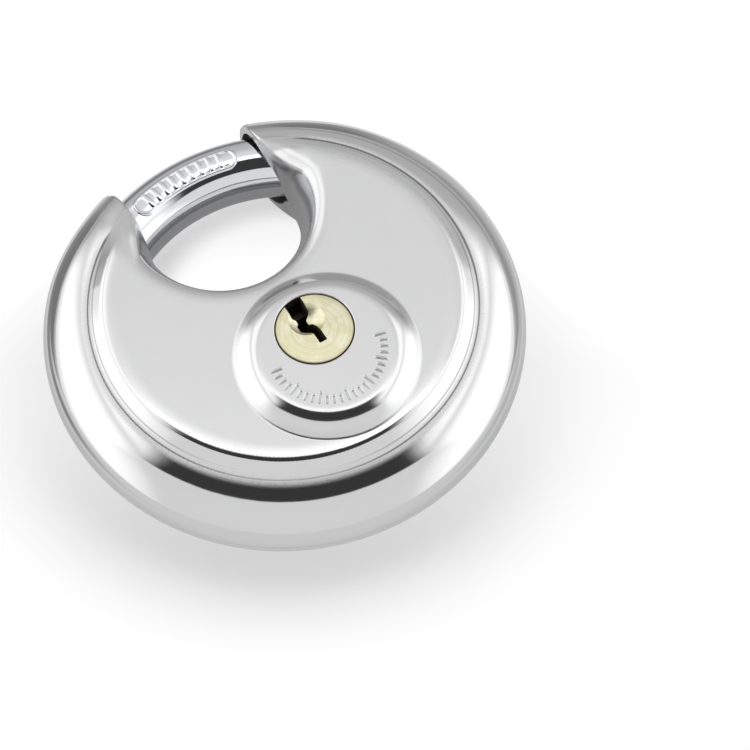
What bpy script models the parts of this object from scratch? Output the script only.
# Disc padlock, 70 mm class, with a sliding ring shackle and a five-pin cylinder.
#
# Frame: origin on the disc axis at the flat of the back shell, +Z out of the
# keyhole face, +Y towards the shackle opening. Numbers are in millimetres and
# are scaled to metres when a mesh is made. A "height" is measured from the
# equator plane, where the two shells meet. A "bearing" runs from +Y towards +X.
import bpy
import bmesh
import math
import numpy as np
from mathutils import Matrix, Vector, geometry

for old_object in list(bpy.data.objects):
    bpy.data.objects.remove(old_object, do_unlink=True)

METRES_PER_MM = 0.001

# ---- driving dimensions (mm) ------------------------------------------------
DISC_R = 35.0
FACE_HEIGHT = 9.08        # each flat face over the equator
EQUATOR = FACE_HEIGHT     # z of the equator plane
FIT = 0.3                 # clearance round the larger inner parts
PIN_FIT = 0.25            # radial clearance round pins and dowels
OVERSHOOT = 1.0           # how far a cutter runs past the surface it opens
SHARP_DEG = 35.0          # edges steeper than this are shaded sharp

BOSS_X, BOSS_Y = 0.45, -11.32   # centre of the raised round on the front face
BOSS_R, BOSS_TOP_R, BOSS_RISE = 13.5, 10.3, 2.0
PLUG_X, PLUG_Y = 0.6, -7.73
PLUG_R, PLUG_GAP = 5.5, 0.15
SHACKLE_R, SHACKLE_TUBE_R = 27.5, 4.57   # centre circle and bar radius
SHACKLE_MOUTH_R = 5.6                    # opening in the shells for the shackle
GROOVE_R = SHACKLE_TUBE_R + FIT          # groove in the castings
CORE_HALF = 7.25                         # half height of the castings
HOUSE_R, HOUSE_LOW, HOUSE_HIGH = 9.7, -4.4, 8.3
LEVER_LOW, LEVER_HIGH = -6.2, -4.9
LEVER_END_R = 2.0
PEG_R, PEG_ARM = 1.3, 17.5
PEG_DEG = 45.0                           # swing of the lever from -Y towards +X


# ---- materials --------------------------------------------------------------
def material(name, rgb, roughness, metallic=1.0):
    mat = bpy.data.materials.new(name)
    mat.use_nodes = True
    shader = mat.node_tree.nodes["Principled BSDF"]
    shader.inputs["Base Color"].default_value = (*rgb, 1.0)
    shader.inputs["Roughness"].default_value = roughness
    shader.inputs["Metallic"].default_value = metallic
    mat.diffuse_color = (*rgb, 1.0)
    return mat


STEEL = material("stainless_shell", rgb=(0.78, 0.78, 0.79), roughness=0.16)
CHROME = material("hardened_shackle", rgb=(0.82, 0.82, 0.84), roughness=0.07)
PLUG_BRASS = material("brass_plug", rgb=(0.86, 0.78, 0.52), roughness=0.3)
CASTING = material("zinc_casting", rgb=(0.52, 0.53, 0.54), roughness=0.55)
HOUSE_BRASS = material("brass_housing", rgb=(0.74, 0.62, 0.34), roughness=0.4)
GUARD_STEEL = material("hardened_guard", rgb=(0.3, 0.3, 0.32), roughness=0.4)
PIN_BRASS = material("pin_brass", rgb=(0.8, 0.66, 0.36), roughness=0.25)
DRIVER_STEEL = material("driver_steel", rgb=(0.65, 0.66, 0.68), roughness=0.25)
SPRING_WIRE = material("spring_wire", rgb=(0.6, 0.6, 0.62), roughness=0.3)
CUTTER = material("cutter", rgb=(1, 0, 0), roughness=0.5, metallic=0.0)


# ---- plan geometry ----------------------------------------------------------
def sind(degrees):
    return math.sin(math.radians(degrees))


def cosd(degrees):
    return math.cos(math.radians(degrees))


def bearing(radius, degrees):
    """Point round the disc axis, from +Y towards +X."""
    return (radius * sind(degrees), radius * cosd(degrees))


def swing(x, y, radius, degrees):
    """Point round (x, y), from -Y towards +X."""
    return (x + radius * sind(degrees), y - radius * cosd(degrees))


def circle(radius, count, x=0.0, y=0.0):
    return [(x + radius * math.cos(2 * math.pi * i / count),
             y + radius * math.sin(2 * math.pi * i / count)) for i in range(count)]


def rect(x0, x1, y0, y1):
    return [(x0, y0), (x1, y0), (x1, y1), (x0, y1)]


def mirrored(half):
    """A line symmetric in X, from its +X half, which starts on the Y axis."""
    return [(-x, y) for x, y in half[:0:-1]] + half


def along(direction, points):
    """Plan points given as (distance along, distance across) a direction."""
    across = Vector((-direction.y, direction.x))
    placed = [direction * ahead + across * aside for ahead, aside in points]
    return [(point.x, point.y) for point in placed]


def at(x, y, height):
    return (x, y, EQUATOR + height)


def span(low, high):
    """Two heights as z values."""
    return (EQUATOR + low, EQUATOR + high)


def ramp(value, start, length):
    """0 before start, 1 after start + length, straight between."""
    return np.clip((value - start) / length, 0, 1)


def smooth(share):
    return 3 * share * share - 2 * share ** 3


# ---- mesh helpers -----------------------------------------------------------
def add_object(work, name, mat, origin=(0, 0, 0)):
    mesh = bpy.data.meshes.new(name)
    work.to_mesh(mesh)
    work.free()
    mesh.materials.append(mat)
    mesh.shade_smooth()
    piece = bpy.data.objects.new(name, mesh)
    piece.location = Vector(origin) * METRES_PER_MM
    bpy.context.scene.collection.objects.link(piece)
    return piece


def finish(work, name, mat, origin=(0, 0, 0)):
    """Scale a bmesh from millimetres and make it an object."""
    bmesh.ops.recalc_face_normals(work, faces=work.faces)
    bmesh.ops.transform(work, matrix=Matrix.Scale(METRES_PER_MM, 4), verts=work.verts)
    piece = add_object(work, name, mat, origin)
    piece.data.set_sharp_from_angle(angle=math.radians(SHARP_DEG))
    return piece


def lathe(name, mat, profile, origin=(0, 0, 0), segments=32):
    """Turn a closed (radius, z) outline round the Z axis of its own origin."""
    work = bmesh.new()
    rings = []
    for radius, z in profile:
        if radius < 1e-6:
            rings.append([work.verts.new((0, 0, z))])
        else:
            rings.append([work.verts.new((x, y, z)) for x, y in circle(radius, segments)])
    for ring, following in zip(rings, rings[1:] + rings[:1]):
        if len(ring) == 1 and len(following) == 1:
            continue
        for i in range(segments):
            j = (i + 1) % segments
            if len(ring) == 1:
                work.faces.new((ring[0], following[j], following[i]))
            elif len(following) == 1:
                work.faces.new((ring[i], ring[j], following[0]))
            else:
                work.faces.new((ring[i], ring[j], following[j], following[i]))
    return finish(work, name, mat, origin)


def prism(name, mat, outline, z_span, origin=(0, 0, 0), bevel=0.0):
    """An upright block on a plan outline, optionally bevelled at both ends."""
    bottom, top = z_span
    work = bmesh.new()
    base = work.faces.new([work.verts.new((x, y, bottom)) for x, y in outline])
    raised = bmesh.ops.extrude_face_region(work, geom=[base])["geom"]
    bmesh.ops.translate(work, verts=[v for v in raised if isinstance(v, bmesh.types.BMVert)],
                        vec=(0, 0, top - bottom))
    bmesh.ops.recalc_face_normals(work, faces=work.faces)
    if bevel:
        level = [e for e in work.edges if abs(e.verts[0].co.z - e.verts[1].co.z) < 1e-5]
        bmesh.ops.bevel(work, geom=level, offset=bevel, segments=1, profile=0.5,
                        affect="EDGES")
    return finish(work, name, mat, origin)


def skin(work, sections):
    """Join a row of equal point rings into a tube closed by flat ends."""
    rings = [[work.verts.new(point) for point in section] for section in sections]
    for ring, following in zip(rings, rings[1:]):
        for i in range(len(ring)):
            j = (i + 1) % len(ring)
            work.faces.new((ring[i], ring[j], following[j], following[i]))
    work.faces.new(rings[0][::-1])
    work.faces.new(rings[-1])


def rod(name, mat, start, end, radius, segments, chamfer=0.0):
    """A round bar between two points."""
    start, end = Vector(start), Vector(end)
    length = (end - start).length
    if chamfer:
        profile = [(radius - chamfer, 0), (radius, chamfer),
                   (radius, length - chamfer), (radius - chamfer, length)]
    else:
        profile = [(radius, 0), (radius, length)]
    work = bmesh.new()
    skin(work, [[(x, y, z) for x, y in circle(size, segments)] for size, z in profile])
    turn = (end - start).to_track_quat("Z", "Y").to_matrix().to_4x4()
    bmesh.ops.transform(work, matrix=Matrix.Translation(start) @ turn, verts=work.verts)
    return finish(work, name, mat)


def upright_cutter(name, x, y, low, high, radius, segments):
    return rod(name, CUTTER, at(x, y, low), at(x, y, high), radius, segments)


def boolean(target, helper, modifier_name, operation):
    modifier = target.modifiers.new(modifier_name, "BOOLEAN")
    modifier.operation = operation
    modifier.solver = "EXACT"
    modifier.object = helper
    helper.hide_render = True
    helper.display_type = "WIRE"


def cut(cutter, *targets):
    for target in targets:
        boolean(target, cutter, "cut_" + cutter.name, "DIFFERENCE")


# ---- shell surface ----------------------------------------------------------
SHEET = 1.2               # thickness of the stainless shells
SEAM = 0.15               # each shell stops this far from the equator
RIM_R, RIM_CENTRE = 5.2, 29.8   # rounding of the rim and its centre radius
STEP_FOOT = (27.94, 7.74)       # step round the raised face (radius, height)
STEP_TOP = (27.33, 8.43)
FACE_R = 25.5             # the flat of the face ends here
FOOT_SLOPE, RIM_SLOPE = -0.58, -1.0   # surface slope at the step foot and at the rim

# Shackle opening: a round end with two long sides up to the horns.
THROAT_Y, THROAT_R = 17.55, 11.3      # centre and radius of the round end
THROAT_HALF, THROAT_RIM_HALF = 10.75, 11.1  # half width of the sides, inner and at the rim
NARROWING = 7.0           # length over which the round end narrows to the sides
FLARE_Y, FLARE = 23.0, 9.0      # start and length of the widening to the rim
THROAT_TOP_Y = 38.0

LIP_END, LIP_HORN = 5.6, 7.6    # width of the rolled lip, at the round end and the horns
LIP_Y, LIP_RUN = 8.0, 14.0      # start and length of that change in width
BLEND, BLEND_RISE = 1.4, 3.0    # softness of lip into face, and the rise that builds it up
CORNER = 1.5              # plan rounding of the two horn tips
NOSE = 0.5                # the rim draws in this much at the horns
NOSE_FULL_DEG, NOSE_FADE_DEG = 20.0, 32.0  # bearing held in full, then fading over this
NOSE_INNER_R = 29.0       # no drawing in within this radius


def ring_height(radius):
    """Height of the pressed disc over the equator."""
    rim_start = RIM_CENTRE + RIM_R * cosd(45)
    rim_height = RIM_R * sind(45)
    (foot_r, foot_height), (top_r, top_height) = STEP_FOOT, STEP_TOP
    share = ramp(radius, FACE_R, top_r - FACE_R)
    height = FACE_HEIGHT - (FACE_HEIGHT - top_height) * share * share
    share = ramp(radius, top_r, foot_r - top_r)
    height = np.where(radius > top_r, top_height + (foot_height - top_height) * share, height)
    # cubic from the foot of the step to the 45 degree point of the rim
    run = rim_start - foot_r
    share = ramp(radius, foot_r, run)
    leave, arrive = FOOT_SLOPE * run, RIM_SLOPE * run
    cubic = 2 * foot_height - 2 * rim_height + leave + arrive
    square = -3 * foot_height + 3 * rim_height - 2 * leave - arrive
    curve = cubic * share ** 3 + square * share ** 2 + leave * share + foot_height
    height = np.where(radius > foot_r, curve, height)
    out = np.clip(radius - RIM_CENTRE, 0, RIM_R)
    return np.where(radius > rim_start, np.sqrt(np.maximum(0, RIM_R ** 2 - out ** 2)), height)


def throat_side(y):
    """Half width of the opening at y, above its round end."""
    half = THROAT_R + (THROAT_HALF - THROAT_R) * smooth(ramp(y, THROAT_Y, NARROWING))
    return half + (THROAT_RIM_HALF - THROAT_HALF) * smooth(ramp(y, FLARE_Y, FLARE))


def throat_arc(radius, angles):
    return [swing(0, THROAT_Y, radius, angle) for angle in angles]


THROAT = np.array(mirrored(
    throat_arc(THROAT_R, np.linspace(0, 90, 61))
    + [(throat_side(y), y) for y in np.linspace(THROAT_Y, THROAT_TOP_Y, 90)[1:]]))


def throat_distance(points):
    """Signed distance from the edge of the opening, positive in the metal."""
    nearest = np.full(len(points), 1e9)
    for start, step in zip(THROAT[:-1], THROAT[1:] - THROAT[:-1]):
        offset = points - start
        share = np.clip((offset @ step) / (step @ step), 0, 1)
        nearest = np.minimum(nearest, np.hypot(*(offset - share[:, None] * step).T))
    x, y = points.T
    inside = np.where(y < THROAT_Y,
                      np.hypot(x, y - THROAT_Y) < THROAT_R,
                      np.abs(x) < throat_side(y))
    return np.where(inside, -nearest, nearest)


def corner_shift(from_rim, from_throat):
    """Set-back that rounds the plan corner of each horn."""
    near = (from_rim < CORNER) & (from_throat < CORNER)
    rounded = CORNER - np.hypot(CORNER - np.minimum(from_rim, CORNER),
                                CORNER - np.minimum(from_throat, CORNER))
    return np.where(near, np.minimum(from_rim, from_throat) - rounded, 0.0)


def shell_height(points, is_front):
    x, y = points.T
    radius = np.hypot(x, y)
    from_throat = throat_distance(points)
    from_rim = DISC_R - radius
    shift = corner_shift(from_rim, from_throat)
    ring = ring_height(DISC_R - np.maximum(from_rim - shift, 0))
    # the lip rises from the mouth of the shackle bore
    mouth = np.sqrt(np.maximum(0, SHACKLE_MOUTH_R ** 2 - (radius - SHACKLE_R) ** 2))
    lip_width = LIP_END + (LIP_HORN - LIP_END) * smooth(ramp(y, LIP_Y, LIP_RUN))
    share = np.clip(np.maximum(from_throat - shift, 0) / lip_width, 0, 1)
    roll = np.sqrt(np.maximum(0, 1 - (1 - share) ** 2))
    lip = mouth + (FACE_HEIGHT + BLEND - mouth) * roll
    # smooth minimum of the two surfaces
    lower = np.minimum(ring, lip)
    soft = BLEND * ramp(lower, mouth, BLEND_RISE) + 1e-6
    overlap = np.maximum(soft - np.abs(ring - lip), 0) / soft
    height = lower - overlap * overlap * soft / 4
    if is_front:
        inward = BOSS_R - np.hypot(x - BOSS_X, y - BOSS_Y)
        height = height + BOSS_RISE * smooth(ramp(inward, 0, BOSS_R - BOSS_TOP_R))
    return height


def draw_in(points):
    """Radial squeeze of the rim near the two horns."""
    x, y = points.T
    from_top = np.abs(np.degrees(np.arctan2(x, y)))
    near_horn = ramp(NOSE_FULL_DEG + NOSE_FADE_DEG - from_top, 0, NOSE_FADE_DEG)
    near_rim = ramp(np.hypot(x, y), NOSE_INNER_R, DISC_R - NOSE_INNER_R)
    scale = 1 - NOSE / DISC_R * smooth(near_horn) * smooth(near_rim)
    return points * scale[:, None]


# ---- shell mesh -------------------------------------------------------------
# Radii of mesh points along the horns, spaced by angle round the shackle mouth.
HORN_RADII = [SHACKLE_R - SHACKLE_MOUTH_R * cosd(angle) for angle in range(0, 181, 20)]
# Radii of the mesh rings from the face out to the rim.
RING_RADII = [FACE_R, 26.5, STEP_TOP[0], STEP_FOOT[0], RIM_CENTRE, 31.7]
RING_RADII += [RIM_CENTRE + RIM_R * sind(angle) for angle in (45, 66, 80)]
# Distances of the mesh rows from the opening.
LIP_ROWS = [LIP_END * (1 - cosd(angle)) for angle in (16, 33, 50, 68, 90)]
RING_STEP_DEG = 8.0
RING_INSET, ROW_INSET = 0.35, 0.6   # rings and rows stop this far inside the outline
BOSS_RINGS, BOSS_SEGMENTS = 5, 30
HOLE_SEGMENTS = 48
ROW_START_GAP, ROW_END_GAP = 0.5, 0.05   # least spacing from the ends of a row's side
WALL_NORMAL_Z = 0.8       # edge vertices less upright than this are thickened level


def horn_point(radius, distance):
    """The +X point at this radius and this distance from the side of the opening."""
    y = math.sqrt(max(radius * radius - 130, 1))   # a first guess, then iterated
    for _ in range(40):
        x = throat_side(y) + distance
        y = math.sqrt(max(radius * radius - x * x, 0.01))
    return (x, y)


def offset_row(distance, end_radius):
    """Points at one distance from the opening, from horn to horn."""
    half = throat_arc(THROAT_R + distance, np.linspace(0, 90, 9))
    start = math.hypot(*half[-1])
    half += [horn_point(radius, distance) for radius in HORN_RADII
             if start + ROW_START_GAP < radius < end_radius - ROW_END_GAP]
    half.append(horn_point(end_radius, distance))
    return mirrored(half)


def open_ring(radius, edge):
    """Arc round the disc from the bearing of an edge point to its mirror."""
    start = math.degrees(math.atan2(*edge))
    sweep = 360 - 2 * start
    count = int(round(sweep / RING_STEP_DEG))
    return [bearing(radius, start + sweep * i / count) for i in range(count + 1)]


def shell_outline():
    """Closed outline: edge of the opening, horn corner, rim, horn corner."""
    side = offset_row(0.0, DISC_R - CORNER)
    right = [horn_point(DISC_R - CORNER * (1 - sind(angle)), CORNER * (1 - cosd(angle)))
             for angle in (15, 30, 45, 60, 75, 90)]
    left = [(-x, y) for x, y in right[::-1]]
    return side + right + open_ring(DISC_R, right[-1])[1:-1] + left


def inside_polygon(polygon, x, y):
    start, end = polygon, np.roll(polygon, -1, axis=0)
    spans = (start[:, 1] > y) != (end[:, 1] > y)
    # level edges divide by zero, but never count as spanning y
    with np.errstate(divide="ignore", invalid="ignore"):
        crossing = (start[:, 0] + (y - start[:, 1]) * (end[:, 0] - start[:, 0])
                    / (end[:, 1] - start[:, 1]))
    return np.count_nonzero(spans & (x < crossing)) % 2 == 1


def plan_mesh(is_front, hole_r):
    """Plan points and triangles of a shell, and its outline."""
    points, edges = [], []

    def chain(line, closed=False):
        first, count = len(points), len(line)
        points.extend(line)
        for i in range(count if closed else count - 1):
            edges.append((first + i, first + (i + 1) % count))

    outline = shell_outline()
    chain(outline, closed=True)
    for distance in LIP_ROWS:
        chain(offset_row(distance, DISC_R - ROW_INSET))
    for radius in RING_RADII:
        chain(open_ring(radius, horn_point(radius, RING_INSET)))
    if is_front:
        for i in range(BOSS_RINGS):
            radius = BOSS_R - (BOSS_R - BOSS_TOP_R) * i / (BOSS_RINGS - 1)
            chain(circle(radius, BOSS_SEGMENTS, BOSS_X, BOSS_Y), closed=True)
        chain(circle(hole_r, HOLE_SEGMENTS, PLUG_X, PLUG_Y), closed=True)
    corners, _, triangles, _, _, _ = geometry.delaunay_2d_cdt(
        [Vector(point) for point in points], edges, [], 0, 1e-4, False)
    return np.array([(v.x, v.y) for v in corners]), triangles, np.array(outline)


def thicken(work, side):
    """Add a second skin inwards, kept level with the seam at its edge."""
    seam_z = (EQUATOR + side * SEAM) * METRES_PER_MM
    outer_faces = list(work.faces)
    outer_edges = [e for e in work.edges if e.is_boundary]
    places = {}
    for v in list(work.verts):
        normal = v.normal.copy()
        if v.is_boundary and abs(normal.z) < WALL_NORMAL_Z:
            normal.z = 0.0
            normal.normalize()
        place = v.co - normal * (SHEET * METRES_PER_MM)
        place.z = max(place.z, seam_z) if side > 0 else min(place.z, seam_z)
        places[v] = place
    twin = {v: work.verts.new(place) for v, place in places.items()}
    for face in outer_faces:
        work.faces.new([twin[v] for v in reversed(face.verts)])
    for edge in outer_edges:
        loop = edge.link_loops[0]
        start, end = loop.vert, loop.link_loop_next.vert
        work.faces.new((end, start, twin[start], twin[end]))


def shell(name, is_front):
    """One pressed half; only the front has the boss and the plug hole."""
    side = 1 if is_front else -1
    hole_r = PLUG_R + PLUG_GAP
    points, triangles, outline = plan_mesh(is_front, hole_r)
    work = bmesh.new()
    verts = []
    for (x, y), height in zip(draw_in(points), shell_height(points, is_front)):
        z = EQUATOR + side * (SEAM + height * (FACE_HEIGHT - SEAM) / FACE_HEIGHT)
        verts.append(work.verts.new((x * METRES_PER_MM, y * METRES_PER_MM, z * METRES_PER_MM)))
    for triangle in triangles:
        x, y = points[list(triangle)].mean(axis=0)
        if not inside_polygon(outline, x, y):
            continue
        if is_front and math.hypot(x - PLUG_X, y - PLUG_Y) < hole_r:
            continue
        work.faces.new([verts[i] for i in triangle[::side]])
    for v in [v for v in work.verts if not v.link_faces]:
        work.verts.remove(v)
    work.normal_update()
    # the outer skin must face away from the equator
    if sum(face.normal.z for face in work.faces) * side < 0:
        bmesh.ops.reverse_faces(work, faces=work.faces)
        work.normal_update()
    thicken(work, side)
    work.normal_update()
    return add_object(work, name, STEEL)


shell("front_shell", is_front=True)
shell("back_shell", is_front=False)

# ---- castings that fill the shells and guide the shackle --------------------
CORE_SPLIT = 0.35         # each casting stops this far from the equator
CORE_FLAT_R = 22.5        # the split face ends here
CORE_R, CORE_TOP_R = 26.5, 25.0   # outer wall, and the edge of the end face
CORE_WALL_HEIGHT = 6.2    # top of the outer wall


def core(name, side):
    first = 180 - math.degrees(math.asin(CORE_SPLIT / GROOVE_R))
    last = 180 - math.degrees(math.acos((SHACKLE_R - CORE_R) / GROOVE_R))
    angles = [first + (last - first) * i / 6 for i in range(1, 7)]
    profile = [(0.0, CORE_SPLIT), (CORE_FLAT_R, CORE_SPLIT)]
    profile += [(SHACKLE_R + GROOVE_R * cosd(a), GROOVE_R * sind(a)) for a in angles]
    profile += [(CORE_R, CORE_WALL_HEIGHT), (CORE_TOP_R, CORE_HALF), (0.0, CORE_HALF)]
    profile = [(radius, EQUATOR + side * height) for radius, height in profile]
    return lathe(name, CASTING, profile, segments=60)


front_core = core("front_core", 1)
back_core = core("back_core", -1)

# room round the rolled lip of the opening
LIP_ROOM = 5.3
LIP_ROOM_TOP_Y = 36.0
lip_room = throat_arc(THROAT_R + LIP_ROOM, range(0, 91, 10))
lip_room += [(THROAT_R + LIP_ROOM, LIP_ROOM_TOP_Y)]
cut(prism("cut_throat", CUTTER, mirrored(lip_room), span(-10, 10)), front_core, back_core)

# room for the cylinder housing
cut(upright_cutter("cut_house", BOSS_X, BOSS_Y, HOUSE_LOW - FIT, 12, HOUSE_R + FIT, 48),
    front_core, back_core)

# pocket swept by the lever and its peg, a sector round the plug axis
POCKET_R = PEG_ARM + LEVER_END_R + 0.4
POCKET_HALF, POCKET_BACK = 4.2, 3.4   # half width and reach beyond the axis towards +Y
pocket = [swing(PLUG_X, PLUG_Y, POCKET_R, angle) for angle in range(-56, 57, 8)]
pocket += [(PLUG_X + POCKET_HALF, PLUG_Y + POCKET_BACK),
           (PLUG_X - POCKET_HALF, PLUG_Y + POCKET_BACK)]
cut(prism("cut_lever", CUTTER, pocket, span(-8.5, 0.5)), back_core)

# ---- rivets that hold the castings together ---------------------------------
RIVET_BEARINGS = (72.0, 108.0, 252.0, 288.0)
RIVET_RING_R = 19.4
RIVET_R, RIVET_HEAD_R = 1.3, 2.1
RIVET_SUNK = 0.1          # the heads lie this far below the casting faces
RIVET_SHANK_HALF = CORE_HALF - 0.85


def rivet(name, mat, half_length, growth, origin):
    """A bar with a wide head at each end, enlarged by growth for its cutter."""
    head_r, shank_r = RIVET_HEAD_R + growth, RIVET_R + growth
    shank_half = RIVET_SHANK_HALF - growth
    upper = [(shank_r, shank_half), (head_r, shank_half), (head_r, half_length),
             (0, half_length)]
    lower = [(radius, -height) for radius, height in upper[::-1]]
    return lathe(name, mat, lower + upper, origin, segments=16)


for i, angle in enumerate(RIVET_BEARINGS, 1):
    rivet_origin = (*bearing(RIVET_RING_R, angle), EQUATOR)
    rivet(f"core_rivet_{i}", DRIVER_STEEL, CORE_HALF - RIVET_SUNK, 0.0, rivet_origin)
    cut(rivet(f"cut_rivet_{i}", CUTTER, CORE_HALF + OVERSHOOT, FIT, rivet_origin),
        front_core, back_core)

# ---- shackle, with a slot for the peg of the lever --------------------------
SHACKLE_TOE_DEG, SHACKLE_HEEL_DEG = -37.0, 160.0   # bearings of its ends
SHACKLE_CHAMFER = 0.8
SHACKLE_STEP_DEG, SHACKLE_SEGMENTS = 6.0, 22
SLOT_INNER_R, SLOT_OUTER_R, SLOT_HALF = 20.0, 26.9, 1.55


def make_shackle():
    """A bar bent on the shackle circle with chamfered flat ends."""
    chamfer_deg = math.degrees(SHACKLE_CHAMFER / SHACKLE_R)
    start = SHACKLE_TOE_DEG + chamfer_deg
    sweep = SHACKLE_HEEL_DEG - SHACKLE_TOE_DEG - 2 * chamfer_deg
    count = int(round(sweep / SHACKLE_STEP_DEG))
    end_r = SHACKLE_TUBE_R - SHACKLE_CHAMFER
    stations = [(SHACKLE_TOE_DEG, end_r)]
    stations += [(start + sweep * i / count, SHACKLE_TUBE_R) for i in range(count + 1)]
    stations += [(SHACKLE_HEEL_DEG, end_r)]
    work = bmesh.new()
    skin(work, [[(*bearing(radius, angle), z)
                 for radius, z in circle(tube_r, SHACKLE_SEGMENTS, SHACKLE_R)]
                for angle, tube_r in stations])
    return finish(work, "shackle", CHROME, origin=(0, 0, EQUATOR))


shackle = make_shackle()
peg_x, peg_y = swing(PLUG_X, PLUG_Y, PEG_ARM, PEG_DEG)
slot = along(Vector((peg_x, peg_y)).normalized(),
             rect(SLOT_INNER_R, SLOT_OUTER_R, -SLOT_HALF, SLOT_HALF))
cut(prism("cut_slot", CUTTER, slot, span(-6, 0.3)), shackle)

# ---- cylinder housing -------------------------------------------------------
PLUG_ORIGIN = at(PLUG_X, PLUG_Y, 0)
HOUSE_CHAMFER = 0.5
house = lathe("cylinder_housing", HOUSE_BRASS,
              [(0, HOUSE_LOW), (HOUSE_R, HOUSE_LOW), (HOUSE_R, HOUSE_HIGH - HOUSE_CHAMFER),
               (HOUSE_R - HOUSE_CHAMFER, HOUSE_HIGH), (0, HOUSE_HIGH)],
              origin=at(BOSS_X, BOSS_Y, 0), segments=48)
bore_cut = upright_cutter("cut_bore", PLUG_X, PLUG_Y, -6, 10, PLUG_R + PLUG_GAP, 48)
cut(bore_cut, house)

# strip let into the -Y side of the housing over the pin chambers
COVER_HALF = 1.35
COVER_OUTER_Y, COVER_INNER_Y = -20.55, -20.05
COVER_LOW, COVER_HIGH = HOUSE_LOW + 1.1, HOUSE_HIGH - 0.6
COVER_CUT_Y = -24.0       # outer end of the recess cutter
cut(prism("cut_strip", CUTTER,
          rect(PLUG_X - COVER_HALF - FIT, PLUG_X + COVER_HALF + FIT,
               COVER_CUT_Y, COVER_INNER_Y + FIT),
          span(COVER_LOW - FIT, HOUSE_HIGH + OVERSHOOT)), house)
prism("chamber_cover", HOUSE_BRASS,
      rect(PLUG_X - COVER_HALF, PLUG_X + COVER_HALF, COVER_OUTER_Y, COVER_INNER_Y),
      span(COVER_LOW, COVER_HIGH), bevel=0.1)

# ---- plug with its keyway, entry and square tail ----------------------------
PLUG_FACE = FACE_HEIGHT + BOSS_RISE
PLUG_CHAMFER = 0.15
TAIL_HALF = 1.7
TAIL_ROOT = 0.6           # the tail runs this far into the plug
plug = lathe("plug", PLUG_BRASS,
             [(0, HOUSE_LOW), (PLUG_R, HOUSE_LOW), (PLUG_R, PLUG_FACE - PLUG_CHAMFER),
              (PLUG_R - PLUG_CHAMFER, PLUG_FACE), (0, PLUG_FACE)],
             origin=PLUG_ORIGIN, segments=64)
tail_form = prism("plug_tail_form", PLUG_BRASS,
                  rect(-TAIL_HALF, TAIL_HALF, -TAIL_HALF, TAIL_HALF),
                  (LEVER_LOW, HOUSE_LOW + TAIL_ROOT), origin=PLUG_ORIGIN)
boolean(plug, tail_form, "tail", "UNION")

# keyway section as (x, y) from the plug axis
KEYWAY_LEFT, KEYWAY_RIGHT = -1.85, 0.85
KEYWAY = [
    (KEYWAY_LEFT, 3.9), (KEYWAY_LEFT, 3.1), (-1.45, 2.75), (-1.45, 2.1),
    (KEYWAY_LEFT, 1.8), (KEYWAY_LEFT, 0.6), (-0.55, -0.35), (-0.55, -2.4),
    (0.65, -2.4), (0.65, 0.4), (0.3, 1.25), (-0.15, 1.3),
    (-0.15, 2.1), (0.45, 2.6), (KEYWAY_RIGHT, 3.1), (KEYWAY_RIGHT, 3.9),
]
KEYWAY_FLOOR = -3.0
# notches on the +Y side of the keyway: name, y range, heights from the plug face
NOTCHES = [
    ("cut_entry", (3.4, 7.0), (-1.1, OVERSHOOT)),
    ("cut_relief", (4.7, 7.0), (-4.0, -0.9)),
]
cut(prism("cut_keyway", CUTTER, KEYWAY, (KEYWAY_FLOOR, PLUG_FACE + OVERSHOOT),
          origin=PLUG_ORIGIN), plug)
for name, y_range, (low, high) in NOTCHES:
    cut(prism(name, CUTTER, rect(KEYWAY_LEFT, KEYWAY_RIGHT, *y_range),
              (PLUG_FACE + low, PLUG_FACE + high), origin=PLUG_ORIGIN), plug)

# shallow dish in the plug face, cut by a sphere
DISH_R, DISH_EDGE_R = 4.0, 2.6
DISH_X, DISH_Y = -0.2, 1.9      # from the plug axis
dish_height = PLUG_FACE + math.sqrt(DISH_R ** 2 - DISH_EDGE_R ** 2)
dish = bmesh.new()
bmesh.ops.create_uvsphere(dish, u_segments=28, v_segments=20, radius=DISH_R)
cut(finish(dish, "cut_dish", CUTTER,
           origin=at(PLUG_X + DISH_X, PLUG_Y + DISH_Y, dish_height)), plug)

# ---- pins and springs, in a row of chambers running towards -Y --------------
PIN_R, PIN_CHAMFER = 0.85, 0.12
CHAMBER_R = PIN_R + PIN_FIT
PIN_TOP, PIN_PITCH = 6.6, 2.35  # height of the first pin and spacing down the row
KEY_STEPS = (2, 0, 3, 1, 2)     # depth steps of the key, one for each pin
TIP_DEPTH, KEY_STEP = 2.75, 0.35
# (start, end) depths from the plug axis towards -Y
KEY_PIN_END = 5.38
DRIVER_PIN = (5.72, 8.1)
PLUG_CHAMBER = (1.9, 7.0)
HOUSE_CHAMBER_START, HOUSE_CHAMBER_END_Y = 3.0, -21.5
SPRING_START, SPRING_END_Y = 8.25, COVER_INNER_Y + 0.35
SPRING_R, WIRE_R, SPRING_TURNS = 0.68, 0.13, 5
TURN_STEPS, WIRE_SEGMENTS = 9, 5


def pin_rod(name, mat, start, end, height, radius, chamfer=0.0):
    """A bar on a chamber axis between two depths from the plug axis."""
    return rod(name, mat, at(PLUG_X, PLUG_Y - start, height),
               at(PLUG_X, PLUG_Y - end, height), radius, 12, chamfer)


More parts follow.
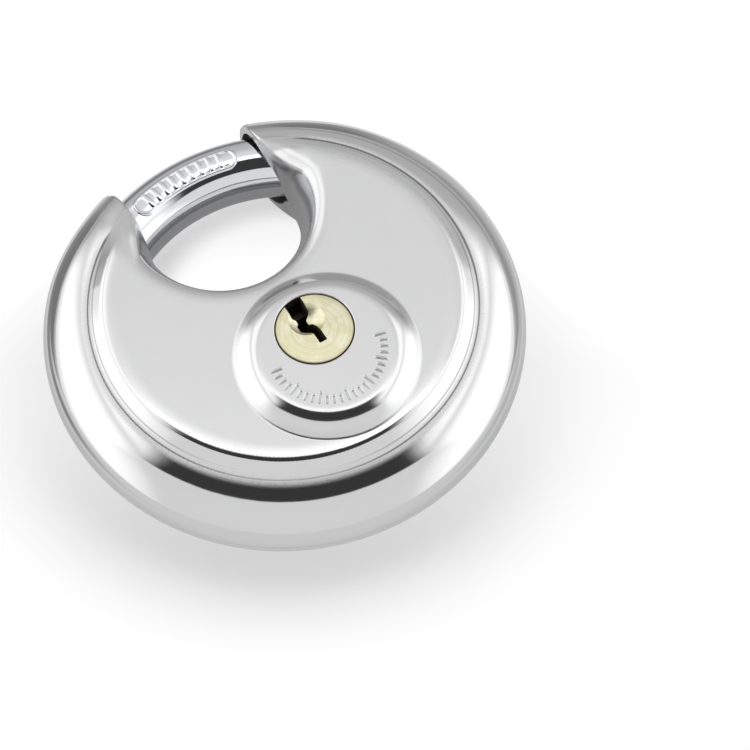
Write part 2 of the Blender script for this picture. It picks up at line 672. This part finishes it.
def spring(name, start_y, end_y, z):
    """A compression spring along Y as a closed swept tube."""
    count = SPRING_TURNS * TURN_STEPS
    rise = (end_y - start_y) / (2 * math.pi * SPRING_TURNS)
    sections = []
    for i in range(count + 1):
        share = i / count
        angle = 2 * math.pi * SPRING_TURNS * share
        across, upward = math.cos(angle), math.sin(angle)
        centre = Vector((PLUG_X + SPRING_R * across, start_y + (end_y - start_y) * share,
                         z + SPRING_R * upward))
        tangent = Vector((-SPRING_R * upward, rise, SPRING_R * across)).normalized()
        outward = Vector((across, 0, upward))
        binormal = tangent.cross(outward).normalized()
        sections.append([centre + WIRE_R * (x * outward + y * binormal)
                         for x, y in circle(1.0, WIRE_SEGMENTS)])
    work = bmesh.new()
    skin(work, sections)
    return finish(work, name, SPRING_WIRE)


for i, key_step in enumerate(KEY_STEPS):
    height = PIN_TOP - PIN_PITCH * i
    number = i + 1
    cut(pin_rod(f"cut_chamber_{number}", CUTTER, HOUSE_CHAMBER_START,
                PLUG_Y - HOUSE_CHAMBER_END_Y, height, CHAMBER_R), house)
    cut(pin_rod(f"cut_plugpin_{number}", CUTTER, *PLUG_CHAMBER, height, CHAMBER_R), plug)
    pin_rod(f"key_pin_{number}", PIN_BRASS, TIP_DEPTH + KEY_STEP * key_step, KEY_PIN_END,
            height, PIN_R, PIN_CHAMFER)
    pin_rod(f"driver_pin_{number}", DRIVER_STEEL, *DRIVER_PIN, height, PIN_R, PIN_CHAMFER)
    spring(f"pin_spring_{number}", PLUG_Y - SPRING_START, SPRING_END_Y, EQUATOR + height)

# tapped hole in the tail for the lever screw
cut(upright_cutter("cut_tap", PLUG_X, PLUG_Y, -8, -4.6, 1.15, 16), plug)

# ---- hardened disc over the housing -----------------------------------------
GUARD_R, GUARD_SHIFT_Y = 9.2, 0.7
GUARD_LOW, GUARD_HIGH = HOUSE_HIGH + FIT, HOUSE_HIGH + 1.1
guard = lathe("drill_guard", GUARD_STEEL,
              [(0, GUARD_LOW), (GUARD_R, GUARD_LOW), (GUARD_R, GUARD_HIGH), (0, GUARD_HIGH)],
              origin=at(BOSS_X, BOSS_Y + GUARD_SHIFT_Y, 0), segments=40)
cut(bore_cut, guard)

# ---- dowels that key the housing to the front casting -----------------------
DOWEL_R, DOWEL_HEIGHT = 0.9, 3.4
DOWEL_INNER, DOWEL_OUTER = 8.3, 13.6    # ends, from the housing axis along X


def dowel(name, mat, side, growth, radius, chamfer=0.0):
    ends = [at(BOSS_X + side * reach, BOSS_Y, DOWEL_HEIGHT)
            for reach in (DOWEL_INNER - growth, DOWEL_OUTER + growth)]
    return rod(name, mat, *ends, radius, 12, chamfer)


for i, side in enumerate((-1, 1), 1):
    dowel(f"housing_dowel_{i}", DRIVER_STEEL, side, 0.0, DOWEL_R, chamfer=0.15)
    cut(dowel(f"cut_dowel_{i}", CUTTER, side, FIT, DOWEL_R + PIN_FIT), front_core, house)

# ---- lever on the plug's square tail, with a peg in the shackle's slot ------
HUB_R = 3.3
TAIL_HOLE_HALF = TAIL_HALF + 0.2
PEG_SHANK_R, PEG_TOP = 0.8, -0.15
lever_plan = [(HUB_R * cosd(50 + 260 * i / 12), HUB_R * sind(50 + 260 * i / 12))
              for i in range(13)]
lever_plan += [(PEG_ARM + LEVER_END_R * cosd(-90 + 180 * i / 8),
                LEVER_END_R * sind(-90 + 180 * i / 8)) for i in range(9)]
lever = prism("drive_lever", DRIVER_STEEL,
              along(Vector(swing(0, 0, 1, PEG_DEG)), lever_plan),
              (LEVER_LOW, LEVER_HIGH), origin=PLUG_ORIGIN, bevel=0.15)
cut(prism("cut_tail", CUTTER,
          rect(-TAIL_HOLE_HALF, TAIL_HOLE_HALF, -TAIL_HOLE_HALF, TAIL_HOLE_HALF),
          (LEVER_LOW - OVERSHOOT, LEVER_HIGH + OVERSHOOT), origin=PLUG_ORIGIN), lever)
cut(upright_cutter("cut_peg", peg_x, peg_y, -9, -4, 1.0, 20), lever)

lathe("drive_peg", DRIVER_STEEL,
      [(0, LEVER_LOW + 0.1), (PEG_SHANK_R, LEVER_LOW + 0.1),
       (PEG_SHANK_R, LEVER_HIGH + 0.25), (PEG_R, LEVER_HIGH + 0.25),
       (PEG_R, PEG_TOP - 0.2), (PEG_R - 0.2, PEG_TOP), (0, PEG_TOP)],
      origin=at(peg_x, peg_y, 0), segments=20)

# slotted screw under the lever, on the plug axis
SCREW_LOW, SCREW_END = -7.45, -5.0
SCREW_HEAD_R, SCREW_SHANK_R, SCREW_CHAMFER = 2.4, 0.85, 0.3
SCREW_SEAT = LEVER_LOW - 0.25
screw = lathe("lever_screw", DRIVER_STEEL,
              [(0, SCREW_LOW), (SCREW_HEAD_R - SCREW_CHAMFER, SCREW_LOW),
               (SCREW_HEAD_R, SCREW_LOW + SCREW_CHAMFER), (SCREW_HEAD_R, SCREW_SEAT),
               (SCREW_SHANK_R, SCREW_SEAT), (SCREW_SHANK_R, SCREW_END), (0, SCREW_END)],
              origin=PLUG_ORIGIN, segments=20)
cut(prism("cut_driver_slot", CUTTER, rect(-3, 3, -0.3, 0.3), (-8.0, -7.05),
          origin=PLUG_ORIGIN), screw)
